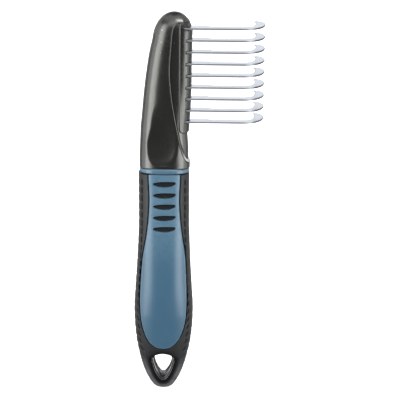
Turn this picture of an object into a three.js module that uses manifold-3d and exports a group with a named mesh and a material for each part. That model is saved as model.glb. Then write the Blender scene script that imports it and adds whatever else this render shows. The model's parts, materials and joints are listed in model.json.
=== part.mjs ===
// Undercoat rake: a nine-bladed dematting comb with hooked steel blades, a moulded head
// with a thumb rest, and a rubber-sleeved handle that ends in a three-cornered hanging hole.
//
// Millimetres. +Z runs up the tool from the butt, -Y is the front face, +X the blade side.
// The origin is the middle of the small flat land on the butt.

import * as THREE from 'three';
import { mergeVertices } from 'three/addons/utils/BufferGeometryUtils.js';
import Module from 'manifold-3d';

const wasm = await Module();
wasm.setup();

// ---------------------------------------------------------------- driving dimensions

const CLEARANCE = 0.3;              // air between neighbouring pieces
const FAR = 60;                     // half size of cutting blocks that run right through

const HANDLE_TOP = 119.9;           // top edge of the rubber sleeve
const RING_BOTTOM = 120.2;
const RING_TOP = 122.5;
const HEAD_BOTTOM = 122.8;
const HEAD_TOP = 202.0;             // overall length of the tool

const SLEEVE_WALL = 2.3;            // rubber over the hard core, and thickness of the blue panels
const RING_WALL = 1.8;
const SPIGOT_INSET = 2.6;           // head's neck inside the ring, under the head's outline

const BLADE_COUNT = 9;
const BLADE_PITCH = 5.9;
const BLADE_THICKNESS = 0.9;
const TOP_BLADE_Z = 194.5;          // middle of the uppermost blade
const BLADE_FRONT_Y = -5.0;         // straight front edge of every blade
const BLADE_TAIL_X = 7.4;            // hidden end, inside the carrier
const BLADE_SHANK_WIDTH = 4.0;
const BLADE_ROOT_WIDTH = 5.3;       // wider where it leaves the carrier
const HOOK_REACH_X = 49.8;          // outermost point of a hook
const HOOK_TIP = { x: 44.6, y: 10.6 };

const ROD = { x: 9.6, y: -2.4, radius: 1.0, bottom: 145.4, top: 196.0 };

const TANG = { width: 12.0, depth: 8.0, bottom: 92.0 };
const TANG_PIN = { radius: 1.5, length: 18.6, z: 98.0 };

const CREASE_X = 8.2;               // edge between the sunk strip and the slotted bar
const BAR_SINK = 0.5;               // how far the slotted bar lies under the head's outline
const STRIP_SINK = 1.3;             // how far the strip beside it lies under that outline
const CARRIER_TOP = 198.0;
const TONGUE = { left: -4.0, halfDepth: 2.5, bottom: 146.0, top: 188.0, wall: 3.0 };

const SCREWS = [
  { name: 'head_screw_upper', x: -0.6, z: 183.0 },
  { name: 'head_screw_lower', x: -0.6, z: 161.0 },
];
const SCREW = { headRadius: 2.6, headHeight: 1.8, shankRadius: 1.4, length: 9.0, sunk: 1.0 };
const SCREW_HOLE_RADIUS = 1.7;
const SCREW_RECESS = { long: 3.2, wide: 0.8, deep: 1.0 };

const THUMB_REST = { z: 139.5, halfWidth: 8.6, halfHeight: 16.0, halfDepth: 5.0, depth: 1.9 };

const SLOT = { count: 5, pitch: 5.9, topZ: 116.6, halfWidth: 5.6, height: 2.7, x: 0.5 };

const HOLE = { topZ: 20.6, cornerZ: 18.6, apexZ: 7.0, halfWidth: 5.0 };
const EYELET_WALL = 1.5;            // hard plastic round the hanging hole
const EYELET_SINK = 0.5;

// Level sections: height, middle in x, half width, half depth.
const HANDLE_SECTIONS = [
  [0.0, 0.0, 3.2, 2.4],
  [1.2, 0.0, 4.7, 3.7],
  [4.2, 0.0, 6.7, 4.9],
  [11.0, 0.0, 10.1, 5.7],
  [18.0, 0.05, 12.2, 6.5],
  [28.4, 0.15, 14.25, 8.2],
  [45.0, 0.2, 15.25, 10.5],
  [58.0, 0.2, 14.5, 11.2],
  [75.0, 0.3, 13.5, 10.7],
  [95.0, 0.38, 12.8, 9.5],
  [119.9, 0.4, 12.75, 8.3],
];
const RING_SECTIONS = [
  [120.2, 0.55, 12.1, 7.7],
  [120.8, 0.6, 12.4, 8.1],
  [121.9, 0.6, 12.4, 8.1],
  [122.5, 0.6, 12.1, 7.7],
];
const HEAD_SECTIONS = [
  [119.0, 0.6, 12.45, 7.6],
  [127.6, 0.65, 12.55, 7.6],
  [140.2, 0.85, 12.3, 7.6],
  [152.7, 1.7, 12.1, 7.5],
  [165.0, 2.5, 11.7, 7.3],
  [177.3, 3.35, 10.95, 7.1],
  [189.4, 4.65, 9.65, 6.8],
  [195.4, 5.15, 8.35, 6.1],
  [198.8, 5.4, 6.7, 4.9],
  [201.0, 5.4, 3.5, 2.7],
  [202.0, 5.4, 1.0, 0.8],
];
const HEAD_SQUARENESS = 2.3;        // exponent of the superellipse; 2 is a plain ellipse
const HANDLE_SQUARENESS = 2.4;

// Seam between the head's main shells and the blade carrier, from the crown down to the
// right-hand side just above the ring: x, height.
const SEAM = [
  [7.3, 198.0], [4.5, 194.3], [3.5, 186.0], [2.9, 172.0],
  [4.8, 155.3], [8.4, 138.7], [11.0, 131.4], [13.6, 125.4],
];
const STRIP_SEAM_POINTS = 6;        // so many of them, from the top, bound the sunk strip

// Outline of the blue panels, right half, from the top edge to the tip: x, height.
const PANEL_EDGE = [
  [8.2, 119.9], [7.6, 108.0], [8.7, 92.0], [11.0, 75.0], [12.0, 54.0], [11.7, 40.0], [8.6, 30.0],
];
const PANEL_TIP_Z = 24.4;
const PANEL_MIDDLE_X = 0.3;

// ---------------------------------------------------------------- shape helpers

// Reads one column of a section table at any height, smooth and without overshoot.
function readColumn(sections, column) {
  const at = sections.map((row) => row[0]);
  const value = sections.map((row) => row[column]);
  const slope = value.slice(1).map((next, i) => (next - value[i]) / (at[i + 1] - at[i]));
  const tangent = value.map((_, i) => {
    const before = slope[Math.max(i - 1, 0)];
    const after = slope[Math.min(i, slope.length - 1)];
    return before * after > 0 ? (2 * before * after) / (before + after) : 0;
  });
  return (height) => {
    const h = THREE.MathUtils.clamp(height, at[0], at[at.length - 1]);
    const i = Math.min(at.findLastIndex((start) => start <= h), slope.length - 1);
    const span = at[i + 1] - at[i];
    const t = (h - at[i]) / span;
    const ease = t * t * (3 - 2 * t);
    const lean = tangent[i] * (t ** 3 - 2 * t * t + t) + tangent[i + 1] * (t ** 3 - t * t);
    return value[i] + (value[i + 1] - value[i]) * ease + span * lean;
  };
}

// A closed geometry as a solid that can be cut and joined.
function solidOf(geometry) {
  geometry.deleteAttribute('normal');
  geometry.deleteAttribute('uv');
  const welded = mergeVertices(geometry, 1e-5);
  return new wasm.Manifold(new wasm.Mesh({
    numProp: 3,
    vertProperties: new Float32Array(welded.attributes.position.array),
    triVerts: new Uint32Array(welded.index.array),
  }));
}

// A body whose level sections are superellipses read from a section table and drawn in by inset.
function levelLoft(sections, squareness, { from, to, inset = 0, layers = 20, crowd = 1 }) {
  const middle = readColumn(sections, 1);
  const halfWidth = readColumn(sections, 2);
  const halfDepth = readColumn(sections, 3);
  const sides = 28;
  const geometry = new THREE.CylinderGeometry(1, 1, 1, sides, layers);
  geometry.rotateX(Math.PI / 2);
  const point = new THREE.Vector3();
  const rounded = (c) => Math.sign(c) * Math.abs(c) ** (2 / squareness);
  for (let i = 0; i < geometry.attributes.position.count; i += 1) {
    point.fromBufferAttribute(geometry.attributes.position, i);
    const share = crowd < 0 ? 1 - (0.5 - point.z) ** -crowd : (point.z + 0.5) ** crowd;
    const height = from + share * (to - from);
    const x = middle(height) + rounded(point.x) * (halfWidth(height) - inset);
    const y = rounded(point.y) * (halfDepth(height) - inset);
    geometry.attributes.position.setXYZ(i, x, y, height);
  }
  return solidOf(geometry);
}

// An outline drawn in x and z, extruded along y between two depths.
function acrossDepth(shape, yFrom, yTo, curveSegments = 12) {
  const depth = yTo - yFrom;
  const geometry = new THREE.ExtrudeGeometry(shape, { depth, bevelEnabled: false, curveSegments });
  geometry.rotateX(Math.PI / 2);
  geometry.translate(0, yTo, 0);
  return solidOf(geometry);
}

function block(xFrom, xTo, yFrom, yTo, zFrom, zTo) {
  const geometry = new THREE.BoxGeometry(xTo - xFrom, yTo - yFrom, zTo - zFrom);
  geometry.translate((xFrom + xTo) / 2, (yFrom + yTo) / 2, (zFrom + zTo) / 2);
  return solidOf(geometry);
}

// A round bar along one axis, centred on a point.
function bar(axis, radius, length, x, y, z, sides = 20) {
  const geometry = new THREE.CylinderGeometry(radius, radius, length, sides);
  if (axis === 'x') geometry.rotateZ(Math.PI / 2);
  if (axis === 'z') geometry.rotateX(Math.PI / 2);
  geometry.translate(x, y, z);
  return solidOf(geometry);
}

function shapeOf(points) {
  return new THREE.Shape(points.map(([x, z]) => new THREE.Vector2(x, z)));
}

function smoothLine(points, steps) {
  const curve = new THREE.SplineCurve(points.map(([x, z]) => new THREE.Vector2(x, z)));
  return curve.getPoints(steps).map((p) => [p.x, p.y]);
}

// ---------------------------------------------------------------- outlines

// Everything on the blade side of the seam, moved sideways by shift.
function bladeSideOfSeam(shift) {
  const seam = smoothLine(SEAM, 20).map(([x, z]) => [x + shift, z]);
  const [headX] = seam[0];
  const [, footZ] = seam[seam.length - 1];
  const top = CARRIER_TOP - shift;
  return shapeOf([...seam, [FAR, footZ], [FAR, top], [headX + 0.4, top]]);
}

function sunkStrip() {
  const seam = smoothLine(SEAM.slice(0, STRIP_SEAM_POINTS), 24).filter(([x]) => x < CREASE_X);
  const [, footZ] = seam[seam.length - 1];
  const outside = seam.map(([x, z]) => [x - 1, z]);
  return shapeOf([[CREASE_X, 200.0], ...outside, [CREASE_X, footZ - 1]]);
}

function panelOutline(grow) {
  const side = PANEL_EDGE.map(([x, z]) => [x + grow, z]);
  const tip = [[4.6, 25.6 - grow], [0, PANEL_TIP_Z - grow]];
  const right = smoothLine([...side, ...tip], 20);
  const left = right.slice(0, -1).reverse().map(([x, z]) => [-x, z]);
  const top = HANDLE_TOP + (grow > 0 ? 5 : -CLEARANCE);
  const outline = [...right, ...left].filter(([, z]) => z < HANDLE_TOP - 1);
  const [edgeX] = side[0];
  const closed = [[edgeX, top], ...outline, [-edgeX, top]];
  return shapeOf(closed.map(([x, z]) => [x + PANEL_MIDDLE_X, z]));
}

// A finger slot: straight upper edge, bowed lower edge.
function slotOutline(topZ) {
  const shape = new THREE.Shape();
  shape.moveTo(SLOT.x - SLOT.halfWidth, topZ - 0.5);
  shape.lineTo(SLOT.x - SLOT.halfWidth + 0.8, topZ);
  shape.lineTo(SLOT.x + SLOT.halfWidth - 0.8, topZ);
  shape.lineTo(SLOT.x + SLOT.halfWidth, topZ - 0.5);
  shape.quadraticCurveTo(SLOT.x, topZ - 2 * SLOT.height + 0.5, SLOT.x - SLOT.halfWidth, topZ - 0.5);
  return shape;
}

// The hanging hole: three rounded corners, the sharpest one down.
function holeOutline(grow) {
  const w = HOLE.halfWidth + grow;
  const top = HOLE.topZ + grow;
  const apex = HOLE.apexZ - grow;
  const shape = new THREE.Shape();
  shape.moveTo(0, top);
  shape.bezierCurveTo(w * 0.6, top, w, top - 1.2, w, HOLE.cornerZ);
  shape.bezierCurveTo(w, HOLE.cornerZ - 4, 2.2 + grow * 0.5, apex, 0, apex);
  shape.bezierCurveTo(-2.2 - grow * 0.5, apex, -w, HOLE.cornerZ - 4, -w, HOLE.cornerZ);
  shape.bezierCurveTo(-w, top - 1.2, -w * 0.6, top, 0, top);
  return shape;
}

// A blade seen from above: root, shank and the hook that curls back to a claw tip.
function bladeOutline() {
  const front = BLADE_FRONT_Y;
  const shankBack = front + BLADE_SHANK_WIDTH;
  const rootBack = front + BLADE_ROOT_WIDTH;
  const shape = new THREE.Shape();
  shape.moveTo(BLADE_TAIL_X, front);
  shape.lineTo(39.0, front);
  shape.bezierCurveTo(44.5, front, HOOK_REACH_X - 0.4, -1.5, HOOK_REACH_X, 5.4);
  shape.bezierCurveTo(HOOK_REACH_X, 8.6, 48.4, 11.1, HOOK_TIP.x, HOOK_TIP.y);
  shape.bezierCurveTo(46.4, 9.4, 46.6, 3.0, 42.4, shankBack + 0.2);
  shape.bezierCurveTo(41.4, shankBack, 40.0, shankBack, 38.0, shankBack);
  shape.lineTo(24.5, shankBack);
  shape.bezierCurveTo(23.0, shankBack, 22.5, rootBack, 21.0, rootBack);
  shape.lineTo(BLADE_TAIL_X, rootBack);
  shape.closePath();
  const rodHole = new THREE.Path();
  rodHole.absarc(ROD.x, ROD.y, ROD.radius + CLEARANCE / 2, 0, 2 * Math.PI, true);
  shape.holes.push(rodHole);
  return shape;
}

// ---------------------------------------------------------------- head

const bladeHeights = Array.from({ length: BLADE_COUNT }, (_, i) => TOP_BLADE_Z - i * BLADE_PITCH);

function headLoft(inset, from = HEAD_BOTTOM, to = HEAD_TOP) {
  return levelLoft(HEAD_SECTIONS, HEAD_SQUARENESS, { from, to, inset, layers: 17, crowd: -1.5 });
}

function thumbRest(side) {
  const scoop = new THREE.SphereGeometry(1, 22, 14);
  scoop.scale(THUMB_REST.halfWidth, THUMB_REST.halfDepth, THUMB_REST.halfHeight);
  const surface = readColumn(HEAD_SECTIONS, 3)(THUMB_REST.z);
  const y = side * (surface + THUMB_REST.halfDepth - THUMB_REST.depth);
  scoop.translate(-0.2, y, THUMB_REST.z);
  return solidOf(scoop);
}

function screwSurfaceY(z) {
  return readColumn(HEAD_SECTIONS, 3)(z) - SCREW.sunk;
}

function screwHoles() {
  const holes = SCREWS.map(({ x, z }) => {
    const seat = screwSurfaceY(z) - SCREW.headHeight;
    const shank = bar('y', SCREW_HOLE_RADIUS, 11, x, seat - 4.5, z);
    const counterbore = bar('y', SCREW.headRadius + CLEARANCE, 10, x, seat + 5 - CLEARANCE, z);
    return shank.add(counterbore);
  });
  return holes.reduce((all, hole) => all.add(hole));
}

// Both shells as one body: outside, tang, and the pockets for the carrier's tongue and screws.
function headBody() {
  const outside = headLoft(0)
    .subtract(thumbRest(-1))
    .subtract(thumbRest(1));
  const spigot = headLoft(SPIGOT_INSET, RING_BOTTOM, HEAD_BOTTOM + 1);
  const halfTang = TANG.width / 2;
  const tang = block(-halfTang, halfTang, -TANG.depth / 2, TANG.depth / 2, TANG.bottom, HEAD_BOTTOM);
  const gap = CLEARANCE;
  const pocket = block(
    TONGUE.left - gap, FAR,
    -TONGUE.halfDepth - gap, TONGUE.halfDepth + gap,
    TONGUE.bottom - gap, TONGUE.top + gap,
  ).intersect(headLoft(TONGUE.wall - gap, TONGUE.bottom - 2, TONGUE.top + 2));
  return outside
    .add(spigot)
    .add(tang)
    .subtract(acrossDepth(bladeSideOfSeam(-CLEARANCE), -FAR, FAR))
    .subtract(pocket)
    .subtract(screwHoles())
    .subtract(bar('x', TANG_PIN.radius + CLEARANCE, FAR, 0, 0, TANG_PIN.z));
}

function headShell(side) {
  const half = CLEARANCE / 2;
  const keep = side < 0 ? block(-FAR, FAR, -FAR, -half, 0, 300) : block(-FAR, FAR, half, FAR, 0, 300);
  return headBody().intersect(keep);
}

function bladeSlots() {
  const side = CLEARANCE / 2;
  const halfSlot = BLADE_THICKNESS / 2 + side;
  const slots = bladeHeights.map((z) => block(
    BLADE_TAIL_X - side, FAR,
    BLADE_FRONT_Y - side, BLADE_FRONT_Y + BLADE_ROOT_WIDTH + side,
    z - halfSlot, z + halfSlot,
  ));
  return slots.reduce((all, slot) => all.add(slot));
}

function bladeCarrier() {
  const strip = acrossDepth(sunkStrip(), -FAR, FAR).subtract(headLoft(STRIP_SINK));
  const rodBore = bar(
    'z', ROD.radius + CLEARANCE / 2, ROD.top - ROD.bottom + 10, ROD.x, ROD.y,
    (ROD.top + ROD.bottom) / 2 + 5 - CLEARANCE,
  );
  const tongue = block(
    TONGUE.left, 12.0, -TONGUE.halfDepth, TONGUE.halfDepth, TONGUE.bottom, TONGUE.top,
  ).intersect(headLoft(TONGUE.wall, TONGUE.bottom - 2, TONGUE.top + 2));
  return headLoft(BAR_SINK)
    .intersect(acrossDepth(bladeSideOfSeam(0), -FAR, FAR))
    .subtract(strip)
    .add(tongue)
    .subtract(bladeSlots())
    .subtract(rodBore)
    .subtract(screwHoles());
}

function blade(z) {
  const depth = BLADE_THICKNESS;
  const geometry = new THREE.ExtrudeGeometry(
    bladeOutline(), { depth, bevelEnabled: false, curveSegments: 7 },
  );
  geometry.translate(0, 0, z - depth / 2);
  return solidOf(geometry);
}

function bladeRod() {
  return bar('z', ROD.radius, ROD.top - ROD.bottom, ROD.x, ROD.y, (ROD.top + ROD.bottom) / 2);
}

// A pan-head screw that enters from the back, with a cross recess.
function headScrew({ x, z }) {
  const top = screwSurfaceY(z);
  const { headRadius, headHeight, shankRadius, length } = SCREW;
  const profile = [
    [0, 0], [headRadius * 0.6, 0], [headRadius, -headHeight * 0.45], [headRadius, -headHeight],
    [shankRadius, -headHeight], [shankRadius, -length + 1], [0, -length],
  ].map(([r, along]) => new THREE.Vector2(r, along)).reverse();
  const turned = new THREE.LatheGeometry(profile, 20);
  turned.translate(x, top, z);
  const { long, wide, deep } = SCREW_RECESS;
  const across = block(x - long / 2, x + long / 2, top - deep, top + 1, z - wide / 2, z + wide / 2);
  const upright = block(x - wide / 2, x + wide / 2, top - deep, top + 1, z - long / 2, z + long / 2);
  return solidOf(turned).subtract(across).subtract(upright);
}

// ---------------------------------------------------------------- handle

function handleLoft(inset, from, to, crowd = 1.6) {
  return levelLoft(HANDLE_SECTIONS, HANDLE_SQUARENESS, { from, to, inset, layers: 16, crowd });
}

function collarRing() {
  const bead = { from: RING_BOTTOM, to: RING_TOP, layers: 3 };
  const bore = { from: RING_BOTTOM - 1, to: RING_TOP + 1, inset: RING_WALL, layers: 1 };
  return levelLoft(RING_SECTIONS, HEAD_SQUARENESS, bead)
    .subtract(levelLoft(RING_SECTIONS, HEAD_SQUARENESS, bore));
}

function handleCore() {
  const inset = SLEEVE_WALL + CLEARANCE;
  const hole = acrossDepth(holeOutline(0), -FAR, FAR, 6);
  const eyelet = acrossDepth(holeOutline(EYELET_WALL), -FAR, FAR, 6)
    .intersect(handleLoft(EYELET_SINK, 0.5, 40));
  const socket = block(
    -TANG.width / 2 - CLEARANCE, TANG.width / 2 + CLEARANCE,
    -TANG.depth / 2 - CLEARANCE, TANG.depth / 2 + CLEARANCE,
    TANG.bottom - CLEARANCE, HANDLE_TOP + 5,
  );
  return handleLoft(inset, inset, HANDLE_TOP)
    .add(eyelet)
    .subtract(hole)
    .subtract(socket)
    .subtract(bar('x', TANG_PIN.radius + CLEARANCE, TANG_PIN.length + 2 * CLEARANCE, 0, 0, TANG_PIN.z));
}

function tangPin() {
  return bar('x', TANG_PIN.radius, TANG_PIN.length, 0, 0, TANG_PIN.z);
}

function fingerSlots() {
  const tops = Array.from({ length: SLOT.count }, (_, i) => SLOT.topZ - i * SLOT.pitch);
  return tops
    .map((topZ) => acrossDepth(slotOutline(topZ), -FAR, FAR, 8))
    .reduce((all, slot) => all.add(slot));
}

function bluePanel(side) {
  const reach = side < 0 ? [-FAR, -1] : [1, FAR];
  return acrossDepth(panelOutline(0), ...reach)
    .intersect(handleLoft(0, 0, HANDLE_TOP))
    .subtract(handleLoft(SLEEVE_WALL, SLEEVE_WALL, HANDLE_TOP + 1))
    .subtract(fingerSlots());
}

function gripSleeve() {
  const window = acrossDepth(panelOutline(CLEARANCE), -FAR, FAR);
  const eyelet = acrossDepth(holeOutline(EYELET_WALL + CLEARANCE), -FAR, FAR, 6);
  return handleLoft(0, 0, HANDLE_TOP)
    .subtract(handleLoft(SLEEVE_WALL, SLEEVE_WALL, HANDLE_TOP + 1))
    .subtract(window)
    .subtract(eyelet);
}

// ---------------------------------------------------------------- materials and assembly

function finish(color, roughness, metalness = 0) {
  return { color, roughness, metalness };
}

const HEAD_PLASTIC = finish(0x4a4a47, 0.38, 0.3);
const BLUE_PLASTIC = finish(0x4a6f8c, 0.35);
const CORE_PLASTIC = finish(0x121314, 0.2);
const RUBBER = finish(0x3a3b3b, 0.8);
const STEEL = finish(0xd6dae2, 0.18, 1);
const SCREW_STEEL = finish(0x9a9a98, 0.35, 1);

function meshOf(name, solid, look) {
  const { vertProperties, triVerts } = solid.getMesh();
  const geometry = new THREE.BufferGeometry();
  geometry.setAttribute('position', new THREE.BufferAttribute(new Float32Array(vertProperties), 3));
  geometry.setIndex(new THREE.BufferAttribute(new Uint32Array(triVerts), 1));
  geometry.computeVertexNormals();
  const mesh = new THREE.Mesh(geometry, new THREE.MeshStandardMaterial(look));
  mesh.name = name;
  return mesh;
}

const head = new THREE.Group();
head.add(meshOf('head_front_shell', headShell(-1), HEAD_PLASTIC));
head.add(meshOf('head_back_shell', headShell(1), HEAD_PLASTIC));
head.add(meshOf('blade_carrier', bladeCarrier(), HEAD_PLASTIC));
head.add(meshOf('blade_rod', bladeRod(), SCREW_STEEL));
bladeHeights.forEach((z, i) => head.add(meshOf(`blade_${i + 1}`, blade(z), STEEL)));
SCREWS.forEach((screw) => head.add(meshOf(screw.name, headScrew(screw), SCREW_STEEL)));

const handle = new THREE.Group();
handle.add(meshOf('collar_ring', collarRing(), BLUE_PLASTIC));
handle.add(meshOf('handle_core', handleCore(), CORE_PLASTIC));
handle.add(meshOf('tang_pin', tangPin(), SCREW_STEEL));
handle.add(meshOf('front_panel', bluePanel(-1), BLUE_PLASTIC));
handle.add(meshOf('back_panel', bluePanel(1), BLUE_PLASTIC));
handle.add(meshOf('grip_sleeve', gripSleeve(), RUBBER));

const rake = new THREE.Group();
rake.name = 'undercoat_rake';
rake.add(head, handle);

export default rake;
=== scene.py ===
"""The looks of an undercoat rake: hooked steel blades in a moulded head on a rubber-sleeved grip.

Lengths are in millimetres until a mesh is made, and heights are above the butt unless they say
above the ring. Each moulded piece, and each screw, is a distance field, negative inside, that is
meshed on a fine grid and drawn onto the field's exact surface. The blades and the ring are
meshed from their outlines. The main sizes are read from the boxes of the CAD nodes.
"""

import json
import math

import bpy
import numpy as np
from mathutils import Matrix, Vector


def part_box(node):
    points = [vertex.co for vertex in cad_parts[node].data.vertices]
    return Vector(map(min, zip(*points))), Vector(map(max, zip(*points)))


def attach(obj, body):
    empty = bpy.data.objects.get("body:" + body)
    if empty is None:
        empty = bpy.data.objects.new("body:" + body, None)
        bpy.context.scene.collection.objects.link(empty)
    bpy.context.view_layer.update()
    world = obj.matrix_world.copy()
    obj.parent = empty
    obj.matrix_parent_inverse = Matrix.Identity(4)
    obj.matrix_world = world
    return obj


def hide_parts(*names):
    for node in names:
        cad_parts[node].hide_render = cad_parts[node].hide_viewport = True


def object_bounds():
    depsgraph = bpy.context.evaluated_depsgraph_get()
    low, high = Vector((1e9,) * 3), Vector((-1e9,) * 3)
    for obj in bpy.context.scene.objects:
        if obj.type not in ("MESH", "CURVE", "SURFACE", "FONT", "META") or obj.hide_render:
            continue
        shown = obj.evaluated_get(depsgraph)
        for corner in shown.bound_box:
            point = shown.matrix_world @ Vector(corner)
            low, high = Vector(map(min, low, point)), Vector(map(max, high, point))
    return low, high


MM = 0.001

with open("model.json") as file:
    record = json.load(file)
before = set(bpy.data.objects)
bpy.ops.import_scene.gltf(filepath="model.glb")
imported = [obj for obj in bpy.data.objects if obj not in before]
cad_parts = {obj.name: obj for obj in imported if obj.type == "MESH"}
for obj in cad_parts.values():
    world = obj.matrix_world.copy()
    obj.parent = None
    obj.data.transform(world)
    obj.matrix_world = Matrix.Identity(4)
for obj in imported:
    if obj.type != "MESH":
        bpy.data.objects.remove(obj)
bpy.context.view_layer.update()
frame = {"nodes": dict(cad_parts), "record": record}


# ---------------- sizes read from the frame

def box_mm(node):
    low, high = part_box(node)
    return np.array(low) / MM, np.array(high) / MM


sleeve_low, sleeve_high = box_mm("grip_sleeve")
ring_low, ring_high = box_mm("collar_ring")
shell_low, shell_high = box_mm("head_front_shell")
panel_low, panel_high = box_mm("front_panel")
blade_count = sum(name.startswith("blade_") and name[6:].isdigit() for name in frame["nodes"])
blade_boxes = [box_mm(f"blade_{i + 1}") for i in range(blade_count)]

GRIP_TOP = sleeve_high[2]
GRIP_WIDE = (sleeve_high[0] - sleeve_low[0]) / 2
GRIP_DEEP = -panel_low[1]
RING_LOW = ring_low[2]
RING_HIGH = ring_high[2]
RING_WIDE = (ring_high[0] - ring_low[0]) / 2
RING_DEEP = ring_high[1]
RING_MIDDLE = (ring_high[0] + ring_low[0]) / 2
HEAD_TOP = shell_high[2]
HEAD_LONG = HEAD_TOP - RING_HIGH
HEAD_DEEP = -shell_low[1]
BLADE_Z = [(low[2] + high[2]) / 2 for low, high in blade_boxes]
BLADE_THICK = blade_boxes[0][1][2] - blade_boxes[0][0][2]
BLADE_FRONT = blade_boxes[0][0][1]
BLADE_TAIL = blade_boxes[0][0][0]
BLADE_REACH = blade_boxes[0][1][0]

RING_ARCH = 0.95            # the ring's upper edge arches up by this at the front and back
GRIP_ARCH = 0.55            # and its lower edge, with the grip under it, by this
SLEEVE_WALL = 2.3
PANEL_GAP = 0.36            # visible gap round the blue inlays
LEDGE_DEPTH = 1.25          # the inlays' rims rest on a ledge of the sleeve this far down
LEDGE_WIDE = 1.1
SEAM_GAP = 0.12             # visible gap between the head's mouldings
TONGUE_DEPTH = 1.9          # the carrier's edge runs under the shells' this far down
TONGUE_WIDE = 1.1
HAIR = 1e-4                 # keeps divisions away from zero

SLEEVE_CELL = 0.3           # steps of the grids that the pieces are meshed on
CORE_CELL = 0.32
PANEL_CELL = 0.23
SHELL_CELL = 0.28
CARRIER_CELL = 0.22
SCREW_CELL = 0.12

# Sections: height share, middle in x, half-width share, half-depth share, superellipse exponent.
GRIP_SECTIONS = [
    (0.000, 0.00, 0.440, 0.380, 2.00),
    (0.022, 0.00, 0.422, 0.410, 2.00),
    (0.040, 0.00, 0.482, 0.460, 2.00),
    (0.064, 0.00, 0.577, 0.505, 2.05),
    (0.093, 0.00, 0.669, 0.525, 2.10),
    (0.151, 0.05, 0.800, 0.580, 2.20),
    (0.239, 0.15, 0.935, 0.735, 2.30),
    (0.325, 0.20, 0.992, 0.865, 2.40),
    (0.378, 0.20, 1.002, 0.938, 2.40),
    (0.487, 0.20, 0.955, 1.000, 2.40),
    (0.630, 0.30, 0.889, 0.955, 2.50),
    (0.798, 0.38, 0.843, 0.848, 2.60),
    (1.000, 0.38, 0.840, 0.745, 2.60),
]
HEAD_SECTIONS = [
    (0.000, 0.72, 12.65, 1.000, 2.60),
    (0.060, 0.75, 12.65, 1.000, 2.60),
    (0.225, 0.87, 12.30, 1.000, 2.60),
    (0.380, 1.70, 12.15, 0.990, 2.60),
    (0.535, 2.50, 11.75, 0.965, 2.60),
    (0.690, 3.35, 10.95, 0.940, 2.50),
    (0.765, 3.95, 10.50, 0.925, 2.50),
    (0.842, 4.65, 9.85, 0.910, 2.40),
    (0.917, 5.15, 9.70, 0.900, 2.30),
    (1.000, 5.45, 9.60, 0.890, 2.20),
]
RING_POWER = 2.6

# The seam between the shells and the blade carrier, from the crown down: x, height above the ring.
SEAM = [
    (7.4, 74.8), (5.25, 71.8), (4.3, 63.5), (3.6, 49.5),
    (5.25, 32.8), (8.4, 16.2), (9.7, 11.3), (11.0, 7.2), (12.3, 4.8), (14.6, 2.7),
]


# ---------------- curves and outlines

def profile(rows, column, height_scale=1.0, height_start=0.0, value_scale=1.0):
    """One column of a section table as a smooth curve over height, without overshoot."""
    at = height_start + height_scale * np.array([row[0] for row in rows])
    value = value_scale * np.array([row[column] for row in rows])
    slope = np.diff(value) / np.diff(at)
    tangent = np.zeros(len(at))
    together = slope[:-1] * slope[1:]
    steady = together > 0
    tangent[1:-1][steady] = 2 * together[steady] / (slope[:-1] + slope[1:])[steady]
    tangent[0], tangent[-1] = slope[0], slope[-1]

    def read(height):
        h = np.clip(height, at[0], at[-1])
        i = np.clip(np.searchsorted(at, h, side="right") - 1, 0, len(at) - 2)
        span = at[i + 1] - at[i]
        t = (h - at[i]) / span
        ease = t * t * (3 - 2 * t)
        lean = tangent[i] * (t ** 3 - 2 * t ** 2 + t) + tangent[i + 1] * (t ** 3 - t ** 2)
        return value[i] + (value[i + 1] - value[i]) * ease + span * lean

    return read


def spline(points, steps=8):
    """Points along a smooth curve through the given ones."""
    p = np.array(points, float)
    padded = np.vstack([2 * p[0] - p[1], p, 2 * p[-1] - p[-2]])
    line = []
    for a, b, c, d in zip(padded, padded[1:], padded[2:], padded[3:]):
        for t in np.arange(steps) / steps:
            line.append(0.5 * (2 * b + (c - a) * t + (2 * a - 5 * b + 4 * c - d) * t ** 2
                               + (3 * b - a - 3 * c + d) * t ** 3))
    line.append(p[-1])
    return [tuple(q) for q in line]


def bezier(a, b, c, d, steps=12):
    """Points along a Bezier curve, its last point left out."""
    a, b, c, d = (np.array(q, float) for q in (a, b, c, d))
    t = (np.arange(steps) / steps)[:, None]
    line = a * (1 - t) ** 3 + 3 * b * t * (1 - t) ** 2 + 3 * c * t * t * (1 - t) + d * t ** 3
    return [tuple(q) for q in line]


def outline_distance(outline, x, z):
    """Signed distance in the x, z plane to a closed outline, negative inside."""
    nearest = np.full(np.broadcast(x, z).shape, np.inf)
    inside = np.zeros(nearest.shape, bool)
    for (ax, az), (bx, bz) in zip(outline, outline[1:] + outline[:1]):
        ex, ez = bx - ax, bz - az
        t = np.clip(((x - ax) * ex + (z - az) * ez) / max(ex * ex + ez * ez, HAIR), 0, 1)
        nearest = np.minimum(nearest, (x - ax - t * ex) ** 2 + (z - az - t * ez) ** 2)
        if ez:
            inside ^= ((az > z) != (bz > z)) & (x < ex * (z - az) / ez + ax)
    return np.where(inside, -1, 1) * np.sqrt(nearest)


def chart(outlines, step=0.1, margin=6.0):
    """The distance to the nearest of some outlines, tabulated once and read between its points."""
    points = np.array([p for outline in outlines for p in outline])
    low, high = points.min(0) - margin, points.max(0) + margin
    xs = np.arange(low[0], high[0], step)
    zs = np.arange(low[1], high[1], step)
    table = np.min([outline_distance(o, xs[:, None], zs[None, :]) for o in outlines], axis=0)

    def read(x, z):
        u = np.clip((x - low[0]) / step, 0, len(xs) - 1.001)
        v = np.clip((z - low[1]) / step, 0, len(zs) - 1.001)
        i, j = u.astype(int), v.astype(int)
        s, t = u - i, v - j
        near = table[i, j] * (1 - t) + table[i, j + 1] * t
        far = table[i + 1, j] * (1 - t) + table[i + 1, j + 1] * t
        return near * (1 - s) + far * s

    return read


# ---------------- distance fields

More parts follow.
